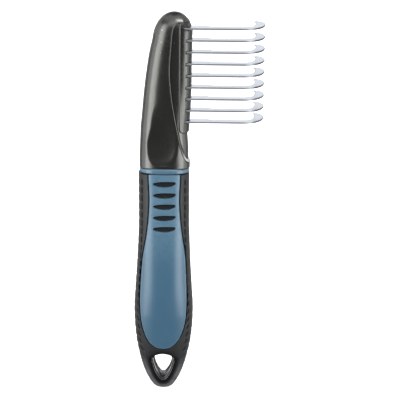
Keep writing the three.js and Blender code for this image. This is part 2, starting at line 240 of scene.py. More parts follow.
def loft(sections, end, sign):
    """A body with superellipse level sections, rounded off past the end's (height, reach)."""
    middle, wide, deep, power = sections

    def distance(x, y, z):
        a, b, p = wide(z), deep(z), power(z)
        u = np.maximum(np.abs(x - middle(z)) / a, HAIR)
        v = np.maximum(np.abs(y) / b, HAIR)
        w = np.maximum(sign * (z - end[0]) / end[1], 0)
        level = (u ** p + v ** p) ** (1 / p)
        rho = np.hypot(level, w)
        lean = ((u / level) ** (p - 1) / a) ** 2 + ((v / level) ** (p - 1) / b) ** 2
        return (rho - 1) / np.sqrt((level / rho) ** 2 * lean + (w / rho / end[1]) ** 2)
    return distance


def surface_depth(sections, x, z):
    """How far in front of the middle plane a loft's surface is."""
    middle, wide, deep, power = sections
    share = np.minimum(np.abs(x - middle(z)) / wide(z), 1)
    return deep(z) * (1 - share ** power(z)) ** (1 / power(z))


def both(a, b, radius=0.0):
    """Where both fields are inside, with the edge between them rounded."""
    if np.isscalar(radius) and radius == 0:
        return np.maximum(a, b)
    corner = np.hypot(np.maximum(a + radius, 0), np.maximum(b + radius, 0))
    return np.minimum(np.maximum(a, b), -radius) + corner


def without(a, b, radius=0.0):
    return both(a, -b, radius)


def either(a, b, radius=0.0):
    return -both(-a, -b, radius)


def step_up(value, start, end):
    """0 before start and 1 after end, smooth in between."""
    t = np.clip((value - start) / (end - start), 0, 1)
    return t * t * (3 - 2 * t)


def segment_distance(x, z, ax, az, bx, bz):
    """The distance to the line from (ax, az) to (bx, bz)."""
    ex, ez = bx - ax, bz - az
    t = np.clip(((x - ax) * ex + (z - az) * ez) / (ex * ex + ez * ez), 0, 1)
    return np.hypot(x - ax - t * ex, z - az - t * ez)


# ---------------- from a field to a mesh

def surface_net(values):
    """Vertices, in grid steps, and outward quads on the zero level of a sampled field."""
    inside = values < 0
    corners = [(i, j, k) for i in (0, 1) for j in (0, 1) for k in (0, 1)]
    nx, ny, nz = (n - 1 for n in values.shape)
    filled = sum(inside[i:nx + i, j:ny + j, k:nz + k].astype(np.int8) for i, j, k in corners)
    mixed = (filled > 0) & (filled < 8)
    cells = np.argwhere(mixed)
    number = np.full(mixed.shape, -1, np.int32)
    number[mixed] = np.arange(len(cells))
    at = [values[cells[:, 0] + i, cells[:, 1] + j, cells[:, 2] + k] for i, j, k in corners]
    total = np.zeros((len(cells), 3))
    crossings = np.zeros(len(cells))
    for a, start in enumerate(corners):
        for b, end in enumerate(corners):
            if sum(end) - sum(start) == 1 and sum(np.abs(np.subtract(end, start))) == 1:
                cut = (at[a] < 0) != (at[b] < 0)
                t = np.where(cut, at[a] / np.where(cut, at[a] - at[b], 1), 0)
                place = np.array(start) + t[:, None] * np.subtract(end, start)
                total += cut[:, None] * place
                crossings += cut
    quads = []
    for axis in range(3):
        ahead = np.moveaxis(inside, axis, 0)
        grid = np.moveaxis(number, axis, 0)
        turns = ahead[:-1, 1:-1, 1:-1] != ahead[1:, 1:-1, 1:-1]
        i, j, k = np.nonzero(turns)
        around = [grid[i, j + a, k + b] for a, b in ((0, 0), (1, 0), (1, 1), (0, 1))]
        quad = np.stack(around, 1)
        leaving = ahead[i, j + 1, k + 1]
        if axis == 1:
            leaving = ~leaving
        quad[~leaving] = quad[~leaving][:, ::-1]
        quads.append(quad)
    return cells + total / crossings[:, None], np.concatenate(quads)


def slope_of(field, points, reach=0.02):
    """The field's value and slope at some points."""
    here = field(*points.T)
    rise = []
    for axis in range(3):
        moved = points.copy()
        moved[:, axis] += reach
        rise.append((field(*moved.T) - here) / reach)
    return here, np.stack(rise, 1)


def draw_onto(field, points, limit, rounds=3):
    """Moves points along the field's slope until they lie on its surface."""
    for _ in range(rounds):
        here, slope = slope_of(field, points)
        pull = here / np.maximum((slope ** 2).sum(1), 0.05)
        points = points - np.clip(pull, -limit, limit)[:, None] * slope
    return points


def even_out(field, points, quads, share=0.5):
    """Slides points along the surface towards the middle of their neighbours."""
    sides = np.concatenate([quads[:, [k, (k + 1) % 4]] for k in range(4)])
    sides = np.concatenate([sides, sides[:, ::-1]])
    count = np.bincount(sides[:, 0], minlength=len(points))
    sums = [np.bincount(sides[:, 0], points[sides[:, 1], axis], len(points)) for axis in range(3)]
    move = np.stack(sums, 1) / count[:, None] - points
    slope = slope_of(field, points)[1]
    slope /= np.linalg.norm(slope, axis=1)[:, None]
    return points + share * (move - (move * slope).sum(1)[:, None] * slope)


def settle_mesh(mesh, slot, node, look=None):
    """Puts a mesh on the tool's one body, in place of a CAD node."""
    mesh.materials.append(look or looks[slot])
    piece = bpy.data.objects.new(mesh.name, mesh)
    bpy.context.scene.collection.objects.link(piece)
    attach(piece, "root")
    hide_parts(node)


def quads_between(layers, count, closed=False):
    """Quads from each ring of count points to the next, and back to the first if closed."""
    quads = []
    for layer in range(layers if closed else layers - 1):
        here, below = layer * count, (layer + 1) % layers * count
        for k in range(count):
            n = (k + 1) % count
            quads.append((here + k, below + k, below + n, here + n))
    return quads


def make_mesh(name, points, faces):
    """A smooth-shaded mesh from points in millimetres and faces of one size."""
    mesh = bpy.data.meshes.new(name)
    faces = np.asarray(faces)
    mesh.vertices.add(len(points))
    mesh.vertices.foreach_set("co", (np.asarray(points) * MM).astype(np.float32).ravel())
    mesh.loops.add(faces.size)
    mesh.loops.foreach_set("vertex_index", faces.astype(np.int32).ravel())
    mesh.polygons.add(len(faces))
    starts = np.arange(0, faces.size, faces.shape[1], dtype=np.int32)
    mesh.polygons.foreach_set("loop_start", starts)
    mesh.update(calc_edges=True)
    mesh.validate()
    mesh.shade_smooth()
    return mesh


def mesh_field(name, node, slot, field, low, high, cell, painted_light=None):
    """Meshes a field inside a box in place of a node; the last argument, a function of x, y and z, marks
    where light and shade are painted into the colour.

    The vertex normals are the field's own slope, so that fine edges don't show the grid.
    """
    low = np.array(low, float) - 1.5 * cell
    axes = [np.arange(a, b + 2 * cell, cell) for a, b in zip(low, np.array(high, float) + cell)]
    values = field(axes[0][:, None, None], axes[1][None, :, None], axes[2][None, None, :])
    values = np.broadcast_to(values, tuple(len(a) for a in axes))
    net, quads = surface_net(values)
    points = draw_onto(field, low + net * cell, cell)
    for _ in range(2):
        points = draw_onto(field, even_out(field, points, quads), cell, rounds=2)
    mesh = make_mesh(name, points, quads)
    if painted_light:
        painted_light_mark = mesh.attributes.new("painted_light", "FLOAT", "POINT")
        share = np.broadcast_to(painted_light(*points.T), (len(points),))
        painted_light_mark.data.foreach_set("value", share.astype(np.float32))
    slope = slope_of(field, points)[1]
    slope /= np.linalg.norm(slope, axis=1)[:, None]
    mesh.normals_split_custom_set_from_vertices(slope)
    settle_mesh(mesh, slot, node)


# ---------------- materials

class Nodes:
    """A node tree with shorthands for adding nodes and joining their sockets."""

    def __init__(self, tree):
        self.nodes = tree.nodes
        self.links = tree.links

    def put(self, socket, value):
        if isinstance(value, bpy.types.NodeSocket):
            self.links.new(value, socket)
        else:
            socket.default_value = value

    def add(self, kind, **inputs):
        """A new shader node with some of its inputs filled in by name."""
        node = self.nodes.new("ShaderNode" + kind)
        for name, value in inputs.items():
            self.put(node.inputs[name.replace("_", " ")], value)
        return node

    def split(self, vector):
        return self.add("SeparateXYZ", Vector=vector).outputs

    def math(self, operation, *values):
        node = self.add("Math")
        node.operation = operation
        for socket, value in zip(node.inputs, values):
            self.put(socket, value)
        return node.outputs[0]


class Look(Nodes):
    """A node material; every texture reads the piece's own place in millimetres."""

    def __init__(self, name):
        self.material = bpy.data.materials.new(name)
        self.material.use_nodes = True
        super().__init__(self.material.node_tree)
        self.shader = self.nodes["Principled BSDF"]
        self.place = self.math_vector("SCALE", self.add("TexCoord").outputs["Object"], 1 / MM)

    def math_vector(self, operation, vector, value):
        node = self.add("VectorMath")
        node.operation = operation
        self.put(node.inputs[0], vector)
        self.put(node.inputs["Scale"] if operation == "SCALE" else node.inputs[1], value)
        return node.outputs[0]

    def noise(self, per_mm, stretch=(1, 1, 1), detail=3.0, roughness=0.5):
        place = self.math_vector("MULTIPLY", self.place, stretch)
        node = self.add("TexNoise", Vector=place, Scale=per_mm, Detail=detail, Roughness=roughness)
        return node.outputs["Fac"]

    def spots(self, per_mm, size):
        """Round spots, 1 in the middle and 0 from size outwards."""
        node = self.add("TexVoronoi", Vector=self.place, Scale=per_mm)
        return self.ramp(node.outputs["Distance"], [(0.0, 1.0), (size, 0.0)])

    def ramp(self, value, stops):
        """Maps a value through (position, level) stops."""
        node = self.add("ValToRGB", Fac=value)
        elements = node.color_ramp.elements
        while len(elements) < len(stops):
            elements.new(0.5)
        for element, (position, level) in zip(elements, stops):
            element.position = position
            element.color = (level, level, level, 1) if np.isscalar(level) else (*level, 1)
        return node.outputs["Color"]

    def mix(self, share, a, b):
        node = self.add("Mix")
        node.data_type = "RGBA"
        self.put(node.inputs["Factor"], share)
        self.put(node.inputs["A"], (*a, 1) if isinstance(a, tuple) else a)
        self.put(node.inputs["B"], (*b, 1) if isinstance(b, tuple) else b)
        return node.outputs["Result"]

    def bump(self, height, distance_mm):
        """Adds a bump on top of those already there."""
        node = self.add("Bump", Strength=1.0, Distance=distance_mm * MM, Height=height)
        if self.shader.inputs["Normal"].links:
            self.links.new(self.shader.inputs["Normal"].links[0].from_socket, node.inputs["Normal"])
        self.put(self.shader.inputs["Normal"], node.outputs["Normal"])

    def facing_up(self, low, high):
        """0 on upright surfaces and 1 on level ones."""
        normal = self.split(self.add("NewGeometry").outputs["True Normal"])
        return self.ramp(self.math("ABSOLUTE", normal["Z"]), [(low, 0.0), (high, 1.0)])

    def beyond(self, low, high):
        """0 up to x = low and 1 past x = high, in millimetres."""
        span = high - low
        share = self.math("MULTIPLY_ADD", self.split(self.place)["X"], 1 / span, -low / span)
        return self.ramp(share, [(0.0, 0.0), (1.0, 1.0)])

    def painted_light(self, sign=1):
        """The painted light marked on the mesh, broken up by noise; sign -1 for the painted shade."""
        mark = self.add("Attribute")
        mark.attribute_name = "painted_light"
        marked = self.math("MAXIMUM", self.math("MULTIPLY", mark.outputs["Fac"], sign), 0)
        if sign < 0:
            return marked
        patchy = self.ramp(self.noise(0.4, detail=4), [(0.3, 0.45), (0.6, 1.0)])
        return self.math("MULTIPLY", marked, patchy)

    def set(self, **inputs):
        for name, value in inputs.items():
            self.put(self.shader.inputs[name.replace("_", " ")], value)


def head_plastic():
    """Satin metallic grey with patches of dust specks; pale and less metallic where a painted highlight
    is marked, nearly black where painted shade is marked.
    """
    look = Look("head_plastic")
    cloud = look.noise(0.12, detail=4)
    tone = look.mix(cloud, (0.085, 0.085, 0.079), (0.115, 0.115, 0.107))
    dusty = look.ramp(look.noise(0.08), [(0.5, 0), (0.58, 1)])
    specks = look.math("MULTIPLY", look.spots(0.6, 0.13), dusty)
    tone = look.mix(look.math("MULTIPLY", specks, 0.8), tone, (0.75, 0.75, 0.72))
    # painted highlight: the marked places turn pale grey and less metallic
    painted_light_mark = look.painted_light()
    tone = look.mix(painted_light_mark, tone, (0.8, 0.8, 0.8))
    # painted shade: the marked places turn nearly black
    tone = look.mix(look.painted_light(-1), tone, (0.03, 0.03, 0.028))
    rough = look.math("MULTIPLY_ADD", look.noise(1.1, detail=5), 0.1, 0.19)
    look.set(Base_Color=tone, Metallic=look.math("MULTIPLY_ADD", painted_light_mark, -0.8, 0.85), Roughness=rough)
    look.bump(look.noise(5.0, detail=2), 0.012)
    look.bump(look.noise(0.35, stretch=(1, 1, 0.3)), 0.03)
    return look.material


def blue_plastic(name, dark, light, smoothest):
    """Slate blue with a soft sheen, paler where painted light is marked."""
    look = Look(name)
    cloud = look.noise(0.1, detail=4)
    tone = look.mix(cloud, dark, light)
    # painted light: the marked places turn a pale blue
    tone = look.mix(look.painted_light(), tone, (0.24, 0.38, 0.47))
    rough = look.math("MULTIPLY_ADD", look.noise(1.5, detail=5), 0.12, smoothest)
    look.set(Base_Color=tone, Roughness=rough, Specular_IOR_Level=0.6)
    look.bump(look.noise(4.0, detail=2), 0.008)
    look.bump(look.noise(0.3), 0.02)
    return look.material


def core_plastic():
    """Gloss black, slightly uneven."""
    look = Look("core_plastic")
    tone = look.mix(look.noise(0.5), (0.014, 0.014, 0.015), (0.024, 0.024, 0.026))
    rough = look.math("MULTIPLY_ADD", look.noise(0.8), 0.08, 0.04)
    look.set(Base_Color=tone, Roughness=rough, Specular_IOR_Level=0.9)
    look.bump(look.noise(0.6), 0.02)
    return look.material


def sleeve_rubber():
    """Matt charcoal, paler where painted light is marked and nearly black where painted shade is marked.
    """
    look = Look("sleeve_rubber")
    cloud = look.noise(0.2, detail=5)
    tone = look.mix(cloud, (0.014, 0.014, 0.0145), (0.021, 0.021, 0.022))
    # painted light: the marked places turn a pale grey
    tone = look.mix(look.painted_light(), tone, (0.094, 0.098, 0.104))
    # painted shade: the marked places turn nearly black and less shiny
    shade = look.painted_light(-1)
    tone = look.mix(shade, tone, (0.002, 0.002, 0.002))
    rough = look.math("MULTIPLY_ADD", look.noise(2.0, detail=4), 0.2, 0.36)
    shine = look.math("MULTIPLY_ADD", shade, -0.3, 0.42)
    look.set(Base_Color=tone, Roughness=rough, Specular_IOR_Level=shine)
    look.bump(look.noise(3.0, detail=4), 0.02)
    return look.material


def blade_steel():
    """Polished faces with fine grinding lines; the stamped edges are duller and darker, and on the hook
    painted nearly black as painted shade.
    """
    look = Look("blade_steel")
    lines = look.noise(3.0, stretch=(0.06, 1, 1), detail=4)
    faces = look.facing_up(0.5, 0.9)
    tone = look.mix(lines, (0.7, 0.73, 0.8), (0.79, 0.82, 0.88))
    # painted shade: the edges past the bend are painted nearly black
    hook = look.beyond(BLADE_REACH - 7.0, BLADE_REACH - 4.5)
    edges = look.mix(hook, (0.4, 0.405, 0.42), (0.08, 0.08, 0.085))
    tone = look.mix(faces, edges, tone)
    rough = look.math("MULTIPLY_ADD", faces, -0.28, 0.42)
    rough = look.math("MULTIPLY_ADD", lines, 0.14, rough)
    look.set(Base_Color=tone, Metallic=1.0, Roughness=rough)
    look.bump(lines, 0.006)
    return look.material


def fastener_steel():
    """Dull plated steel."""
    look = Look("fastener_steel")
    tone = look.mix(look.noise(0.8), (0.42, 0.42, 0.41), (0.6, 0.6, 0.58))
    rough = look.math("MULTIPLY_ADD", look.noise(3.0), 0.2, 0.25)
    look.set(Base_Color=tone, Metallic=1.0, Roughness=rough)
    look.bump(look.noise(5.0), 0.01)
    return look.material


looks = {
    "head_plastic": head_plastic(),
    "blue_plastic": blue_plastic("blue_plastic", (0.049, 0.118, 0.185), (0.058, 0.136, 0.207), 0.24),
    # the ring: the same blue painted paler, as painted light for the light the ring catches
    "ring_blue_painted_paler": blue_plastic("ring_blue_painted_paler", (0.08, 0.155, 0.215), (0.095, 0.18, 0.245), 0.1),
    "core_plastic": core_plastic(),
    "sleeve_rubber": sleeve_rubber(),
    "blade_steel": blade_steel(),
    "fastener_steel": fastener_steel(),
}


# ---------------- grip

grip_sections = [profile(GRIP_SECTIONS, column, GRIP_TOP, value_scale=scale)
                 for column, scale in ((1, 1), (2, GRIP_WIDE), (3, GRIP_DEEP), (4, 1))]
grip_middle, grip_wide = grip_sections[:2]
TAIL_START, TAIL_REACH = 4.4, 4.65      # below this height the grip rounds off to its tail
grip_loft = loft(grip_sections, (TAIL_START, TAIL_REACH), -1)

opening = frame["record"]["physics"]["openings"][0]
opening_low, opening_high = (np.array(corner) / MM for corner in opening["box_m"])
HOLE_Z = (opening_low[2] + opening_high[2]) / 2
HOLE_RIDGE = (4.6, 5.8, 2.2, -6.8, 1.8)     # half width, then top, corners and tip above the
HOLE_RIM = (5.7, 6.6, 2.6, -9.2, 2.4)       # hole's middle, then the half width of the blunt tip
HOLE_COLLAR = (6.3, 6.3, 2.8, -10.4, 3.2)   # where the rubber ends round the hole
RIDGE_HALF = 2.6
SCOOP_DEPTH = 1.2
SCOOP_REACH = 2.2


def hole_outline(wide, top, corner, apex, blunt):
    """A triangle with its point down, its upper corners and sides bowed."""
    top, corner, apex = top + HOLE_Z, corner + HOLE_Z, apex + HOLE_Z
    right = (bezier((0, top), (wide * 0.5, top), (wide, corner + 1.3), (wide, corner))
             + bezier((wide, corner), (wide, corner - 3.4), (blunt, apex), (0, apex)))
    return right + [(-x, z) for x, z in reversed(right[1:])]


def panel_outline():
    """The inlay's outline: narrow behind the finger slots, wide in the palm, round at the tip."""
    wide = (panel_high[0] - panel_low[0]) / 2
    shares = [
        (0.67, 1.08), (0.66, 0.98), (0.625, 0.88), (0.66, 0.78), (0.755, 0.67), (0.9, 0.545),
        (0.97, 0.41), (1.0, 0.29), (0.955, 0.18), (0.81, 0.10), (0.6, 0.045), (0.3, 0.012), (0, 0.005),
    ]
    low, long = panel_low[2], panel_high[2] - panel_low[2]
    right = spline([(s * wide, low + h * long) for s, h in shares], 6)
    outline = right + [(-x, z) for x, z in reversed(right[:-1])]
    middle = (panel_high[0] + panel_low[0]) / 2

    def lean(z):
        """The neck leans to the blades' side, and the round tip a little to the other."""
        return 0.55 * step_up(z, 50, 95) - 0.25 * (1 - step_up(z, 26, 42))

    return [(x + middle + lean(z), z) for x, z in outline]


SLOT_COUNT = 5
SLOT_PITCH = 5.9
SLOT_HALF = 5.75
SLOT_HIGH = 3.0
SLOT_TOP = GRIP_TOP - 2.8
SLOT_MIDDLE = 0.85
SLOT_DEPTH = 0.95


def finger_slot(top):
    """Bowed below, flatter above, blunt on the blades' side and narrower on the other."""
    w, low = SLOT_HALF, top - SLOT_HIGH
    upper = bezier((0, top), (w * 0.6, top), (w, top), (w, top - 0.75), 10)
    lower = bezier((w, top - 0.75), (w, top - 1.9), (w * 0.6, low), (0, low), 10)
    left = (bezier((0, low), (-w * 0.6, low), (-w, top - 2.1), (-w, top - 1.15), 10)
            + bezier((-w, top - 1.15), (-w * 0.9, top - 0.5), (-w * 0.4, top), (0, top), 10))
    return [(x + SLOT_MIDDLE, z) for x, z in upper[:-1] + lower[:-1] + left[:-1]]


finger_slots = [finger_slot(SLOT_TOP - i * SLOT_PITCH) for i in range(SLOT_COUNT)]
ridge_distance = chart([hole_outline(*HOLE_RIDGE)])
rim_distance = chart([hole_outline(*HOLE_RIM)])
collar_distance = chart([hole_outline(*HOLE_COLLAR)])
panel_distance = chart([panel_outline()])
slot_distance = chart(finger_slots, step=0.06)

TREAD_PITCH = 4.37
TREAD_START = 18.6
TREAD_INSET = 1.9           # the dashes sit this far inside the silhouette
TREAD_DASH = 2.5
TREAD_LEAN = 1.1            # and their lower ends lean in by this near the tail
TREAD_SQUASH = 0.75         # the part of the flank's depth that counts as way round the side
DASH_GROOVE = (0.8, 0.34)   # depth and half width
TAIL_GROOVE = (0.35, 0.32)
SIDE_GROOVE = (0.24, 0.5)


def tread_depth(x, y, z):
    """How deep the rope tread cuts: a dash on the flank, its tail, and a groove over the side.

    Each is a line from one point to another, as far round the side and up as they say.
    """
    column = grip_wide(z) - TREAD_INSET
    column_y = surface_depth(grip_sections, grip_middle(z) + column, z)
    off = np.abs(x - grip_middle(z))
    round_side = off - column + TREAD_SQUASH * (column_y - np.abs(y))
    side = TREAD_INSET + TREAD_SQUASH * column_y
    along = np.mod(z - TREAD_START, TREAD_PITCH)
    low_down = 1 - step_up(z, 30, 75)
    foot = -TREAD_LEAN * low_down
    grooves = [
        (foot, 0, 0, TREAD_DASH - 0.7 * low_down, DASH_GROOVE),
        (foot, 0, foot - 0.9, -1.0, TAIL_GROOVE),
        (0.5, -0.5, side, -2.3, SIDE_GROOVE),
    ]
    depth = 0.0
    for turn in (-1, 0, 1):
        up = along + turn * TREAD_PITCH
        for *ends, (deep, half_wide) in grooves:
            away = segment_distance(round_side, up, *ends)
            depth = np.maximum(depth, deep * np.exp(-(away / half_wide) ** 2))
    fade = step_up(z, 15, 24) * (1 - step_up(z, GRIP_TOP - 4, GRIP_TOP - 1.5))
    return depth * fade


def scoop_depth(x, z):
    """The shallow dish that runs round the hanging hole, shallower above it."""
    away = np.maximum(collar_distance(x, z), 0)
    shallower = 1 - 0.6 * step_up(z, HOLE_Z + 3, HOLE_Z + 8)
    return SCOOP_DEPTH * np.exp(-(away / SCOOP_REACH) ** 2) * shallower


def hole_wall(x, y, z):
    """Solid round the hanging hole: a rounded ridge half way through, set inside a wider rim."""
    ridge = both(np.abs(y) - RIDGE_HALF, -ridge_distance(x, z), 0.8)
    return either(ridge, -rim_distance(x, z), 0.6)


def under_ring(y, z, height):
    """A level cut that arches up at the front and back, as the ring above it does."""
    return z - height - GRIP_ARCH * (y / RING_DEEP) ** 2


def grip_sleeve(x, y, z):
    """The rubber: windows with ledges for the two inlays, and open round the hanging hole."""
    skin = grip_loft(x, y, z)
    body = skin + tread_depth(x, y, z) + scoop_depth(x, z)
    body = both(body, under_ring(y, z, GRIP_TOP + 0.1), 0.4)
    window = both(panel_distance(x, z) - PANEL_GAP * 0.6, -skin - LEDGE_DEPTH)
    window = either(window, panel_distance(x, z) + LEDGE_WIDE)
    body = without(body, window, 0.4)
    body = without(body, collar_distance(x, z) - 0.02, 0.25)
    return without(body, skin + SLEEVE_WALL)


def handle_core(x, y, z):
    """The hard plastic inside, which comes out at the finger slots and lines the hanging hole."""
    skin = grip_loft(x, y, z)
    body = both(skin + SLEEVE_WALL + 0.15, z - GRIP_TOP)
    eyelet = both(skin + scoop_depth(x, z) + 0.05, collar_distance(x, z) + 0.1)
    body = both(either(body, eyelet), hole_wall(x, y, z), 0.6)
    pads = both(skin + SLOT_DEPTH, slot_distance(x, z) + 0.04)
    return either(body, pads)


def blue_panel(side):
    """The inlay on one side, with finger slots and a rim that rests on the sleeve's ledge."""
    def field(x, y, z):
        skin = grip_loft(x, y, z)
        body = both(skin - 0.08, panel_distance(x, z) + PANEL_GAP * 0.4, 0.5)
        body = both(body, under_ring(y, z, GRIP_TOP + 0.12), 0.2)
        body = without(body, slot_distance(x, z), 0.16)
        body = without(body, skin + SLEEVE_WALL - 0.1)
        ledge = both(skin + LEDGE_DEPTH - 0.1, -panel_distance(x, z) - LEDGE_WIDE - 0.1)
        body = without(body, ledge)
        return both(body, 1 - side * y)
    return field


def panel_painted_light(x, y, z):
    """Painted light on the inlay: painted highlights along its rim and round the finger slots, and a
    paler neck where more light falls.
    """
    rim = np.exp(-((panel_distance(x, z) + 0.4) / 0.22) ** 2)
    slots = np.exp(-((slot_distance(x, z) - 0.1) / 0.15) ** 2)
    neck = step_up(z, 66, 98)
    return np.maximum(0.5 * rim, 0.24 * np.maximum(slots, neck))


def sleeve_painted_light(x, y, z):
    """Painted light: paler on the side pads and round the tail; painted shade (below 0) in the dashes
    and at the hole.
    """
    outer = step_up(np.abs(x - grip_middle(z)) / grip_wide(z), 0.93, 0.99)
    tail = 1 - step_up(z, 8, 26)
    tread = tread_depth(x, y, z)
    away = np.maximum(collar_distance(x, z), 0)
    rim = np.maximum(outer, step_up(away, 1.0, 3.0) * tail)
    pads = (0.14 + 1.0 * tail) * rim * (1 - np.minimum(tread / 0.2, 1))
    pads = pads - 0.9 * step_up(tread, 0.26, 0.5)
    reach = 1.6 + step_up(z, HOLE_Z + 2, HOLE_Z + 7)
    above = 1 - step_up(z, HOLE_Z + 8, HOLE_Z + 15)
    return pads - np.exp(-(away / reach) ** 2) * (1 - outer) * above


def build_grip():
    """The rubber sleeve, the hard core inside it and the two inlays."""
    low = (sleeve_low[0] - 0.5, -GRIP_DEEP - 0.5, sleeve_low[2] - 0.5)
    high = (sleeve_high[0] + 0.5, GRIP_DEEP + 0.5, GRIP_TOP + GRIP_ARCH + 0.5)
    mesh_field("rubber_sleeve", "grip_sleeve", "sleeve_rubber", grip_sleeve, low, high, SLEEVE_CELL,
               sleeve_painted_light)
    mesh_field("hard_core", "handle_core", "core_plastic", handle_core, low, high, CORE_CELL)
    for side, node in ((-1, "front_panel"), (1, "back_panel")):
        low, high = box_mm(node)
        mesh_field("blue_" + node, node, "blue_plastic", blue_panel(side), low - 0.8,
                   high + (0.8, 0.8, GRIP_ARCH + 0.8), PANEL_CELL, panel_painted_light)


# ---------------- ring

def build_ring():
    """A rounded bead on a superellipse path that arches up at the front and back."""
    around, corner = 240, 8
    bevel = 0.75
    wall = 2.1
    turns = np.linspace(0, 2 * np.pi, around, endpoint=False)
    cos, sin = np.cos(turns), np.sin(turns)
    path_x = np.sign(cos) * np.abs(cos) ** (2 / RING_POWER)
    path_y = np.sign(sin) * np.abs(sin) ** (2 / RING_POWER)
    half_high = (RING_HIGH - RING_LOW) / 2 + (RING_ARCH - GRIP_ARCH) / 2 * path_y ** 2
    middle_z = (RING_HIGH + RING_LOW) / 2 + (RING_ARCH + GRIP_ARCH) / 2 * path_y ** 2
    layers = []
    corners = ((-bevel, 1, 90), (-bevel, -1, 0), (bevel - wall, -1, -90), (bevel - wall, 1, -180))
    for out, up, start in corners:
        for angle in np.radians(np.linspace(start, start - 90, corner)):
            reach = out + bevel * math.cos(angle)
            x = RING_MIDDLE + path_x * (RING_WIDE + reach)
            y = path_y * (RING_DEEP + reach)
            z = middle_z + up * (half_high - bevel) + bevel * math.sin(angle)
            layers.append(np.stack([x, y, z], 1))
    faces = quads_between(len(layers), around, closed=True)
    ring = make_mesh("blue_ring", np.concatenate(layers), faces)
    settle_mesh(ring, "blue_plastic", "collar_ring", looks["ring_blue_painted_paler"])


# ---------------- head

head_sections = [profile(HEAD_SECTIONS, column, HEAD_LONG, RING_HIGH, scale)
                 for column, scale in ((1, 1), (2, 1), (3, HEAD_DEEP), (4, 1))]
head_round = loft(head_sections, (HEAD_TOP - 12, 12), 1)


FAR = 60                    # well past the head
CREASE_X = 8.2              # where the slotted bar starts
BAR_FOOT = RING_HIGH + 19.1
BAR_SINK = 0.25             # how far the bar lies under the head's outline
STRIP_SINK = 0.85           # and the strip beside it, under the bar's
BAR_TILT = 0.4              # the bar sinks by this more towards the crease
CARRIER_LEFT = 1.2          # how far left the carrier's edge runs on under the shells
CHAMFER_X = 12.65           # a point on the flat that slopes from the crown to the blades
CHAMFER_DROP = 3.4


def above_ring(z):
    return z - RING_HIGH


def carrier_power(z):
    """The slotted bar is squarer than the head round it, more so higher up."""
    return head_sections[3](z) * (1 + 0.12 * step_up(above_ring(z), 22.5, 52.5))


carrier_round = loft(head_sections[:3] + [carrier_power], (HEAD_TOP - 11, 11.5), 1)


def blade_side():
    """Everything on the blades' side of the seam."""
    seam = spline([(x, RING_HIGH + up) for x, up in SEAM])
    return seam + [(FAR, seam[-1][1]), (FAR, seam[0][1])]


def sunk_strip():
    """Left of the slotted bar and below it, with the bar's lower corner rounded."""
    left, right, bottom, top = -15, 30, RING_HIGH - 12.5, HEAD_TOP + 8
    corner = bezier((CREASE_X, BAR_FOOT + 3), (CREASE_X, BAR_FOOT + 1), (9, BAR_FOOT), (11, BAR_FOOT), 8)
    return [(CREASE_X, top)] + corner + [(right, BAR_FOOT), (right, bottom), (left, bottom), (left, top)]


# The thumb rest, a spoon whose handle fades up the head: height above the ring, left, right edge.
THUMB_REST = [
    (2.7, -1.4, -1.4),
    (3.0, -3.2, 0.8),
    (4.1, -5.2, 3.0),
    (6.5, -6.8, 5.3),
    (10.0, -7.6, 6.7),
    (14.0, -7.8, 7.1),
    (18.0, -7.0, 6.9),
    (23.5, -5.5, 6.1),
    (30.5, -4.7, 5.4),
    (47.5, -3.0, 4.6),
]

seam_distance = chart([blade_side()], margin=14)
strip_distance = chart([sunk_strip()], margin=1)
thumb_left = profile(THUMB_REST, 1, height_start=RING_HIGH)
thumb_right = profile(THUMB_REST, 2, height_start=RING_HIGH)


def thumb_floor(x, y, z):
    """The thumb rest's floor: straight from edge to edge, slightly hollow, flush at both ends."""
    up = above_ring(z)
    left, right = thumb_left(z), thumb_right(z)
    depth_left = surface_depth(head_sections, left, z)
    depth_right = surface_depth(head_sections, right, z)
    share = np.clip((x - left) / np.maximum(right - left, HAIR), 0, 1)
    hollow = 0.3 + 0.2 * (1 - step_up(up, 7.5, 15.5))
    hollow = hollow * step_up(up, 2.3, 7.5) * (1 - step_up(up, 17.5, 35.5))
    clear = 1.5 * (1 - step_up(up, 1.7, 2.8)) + 1.3 * step_up(up, 25.5, 49.5)
    floor = depth_left + (depth_right - depth_left) * share - hollow * 4 * share * (1 - share)
    return np.abs(y) - floor - clear


def crown_chamfer(x, z):
    """The flat that slopes from the crown down to the blades' side."""
    return 0.93 * (x - CHAMFER_X) + 0.36 * (z - HEAD_TOP + CHAMFER_DROP)


def seam_tongue(x, y, z, spare=0.0):
    """The carrier runs on under the shells' edge, so nothing shows through the seam."""
    tongue = both(head_round(x, y, z) + TONGUE_DEPTH, seam_distance(x, z) - TONGUE_WIDE)
    return both(tongue, crown_chamfer(x, z) + 1.0) - spare


def head_body(x, y, z):
    """Both shells as one: a lip along the seam, the thumb rest, and room for the carrier."""
    seam = seam_distance(x, z)
    low = 1 - step_up(above_ring(z), 3.5, 17.5)
    lip = (0.09 + 0.31 * low) * np.exp(-((seam - 0.35) / 0.35) ** 2)
    skin = both(head_round(x, y, z) - lip, thumb_floor(x, y, z), 0.3)
    skin = both(skin, crown_chamfer(x, z), 0.4)
    skin = both(skin, SEAM_GAP / 2 - seam, 0.4 + 0.5 * low)
    skin = without(skin, seam_tongue(x, y, z, 0.1))
    foot = RING_HIGH + 0.1 + RING_ARCH * (y / RING_DEEP) ** 2 - z
    return both(skin, foot, 0.35)


def screw_places():
    """Each screw's node, middle, outer end and the radius of its head."""
    for node in ("head_screw_upper", "head_screw_lower"):
        low, high = box_mm(node)
        yield node, (low[0] + high[0]) / 2, (low[2] + high[2]) / 2, high[1], (high[0] - low[0]) / 2


COUNTERBORE = 2.0           # how far the screws' counterbores go down from their heads' tops


